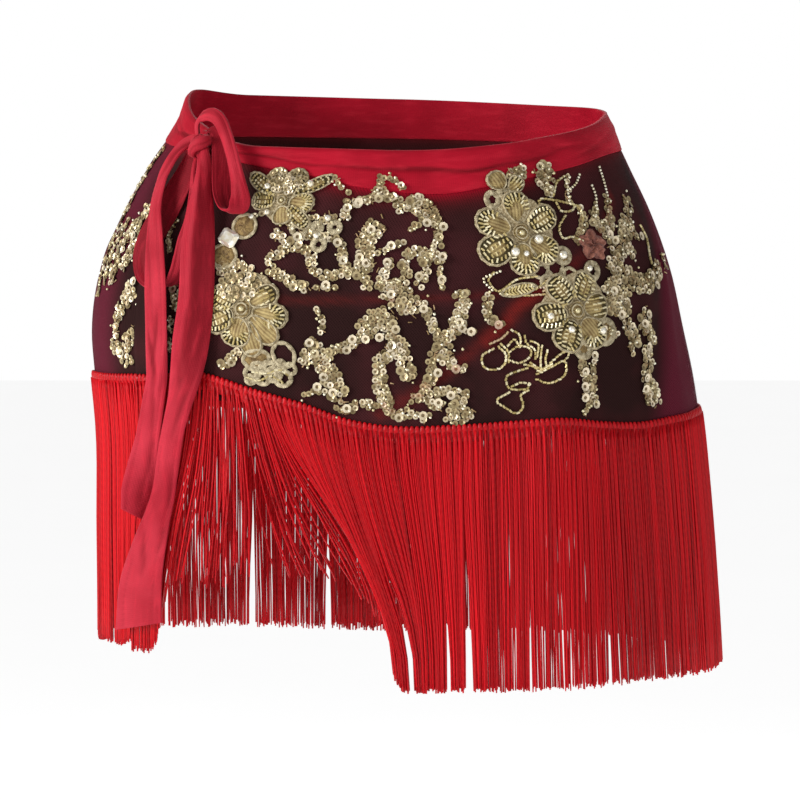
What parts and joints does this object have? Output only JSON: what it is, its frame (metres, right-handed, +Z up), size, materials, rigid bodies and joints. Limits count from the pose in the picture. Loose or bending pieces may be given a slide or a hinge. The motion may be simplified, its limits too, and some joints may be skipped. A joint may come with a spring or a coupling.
{
  "type": "belly dance hip scarf",
  "caption": "Wrap hip scarf of beaded dark mesh with a folded jersey waistband tied in a bow at the side and a long cord fringe along its hem, shaped as worn.",
  "frame": {"origin": "middle of the waist opening, at the level of the waistband's top edge on the right side, where the wearer's waist holds the scarf", "axes": "+Z up, +X towards the viewer's right across the front, the front faces -Y; the bow is at -X"},
  "size_m": [0.3617, 0.245, 0.3268],
  "materials": {
    "mesh": "sheer dark maroon stretch mesh with pale gold sequins and seed beads",
    "jersey": "smooth red stretch jersey with a soft satin sheen",
    "cord": "glossy red rayon cord",
    "beads": "pale gold beads, bugles and sequins"
  },
  "bodies": {
    "root": {"mesh_panel": "mesh", "waistband": "jersey", "tie_knot": "jersey", "tie_loop_left": "jersey", "tie_loop_right": "jersey", "tie_tail_left": "jersey", "tie_tail_right": "jersey", "fringe_trim": "cord", "flower_front_left_top": "beads", "flower_front_left": "beads", "flower_front_centre": "beads", "flower_front_right": "beads", "flower_back_right_top": "beads", "flower_back_right": "beads", "flower_back_centre": "beads", "flower_back_left": "beads"}
  },
  "joints": []
}
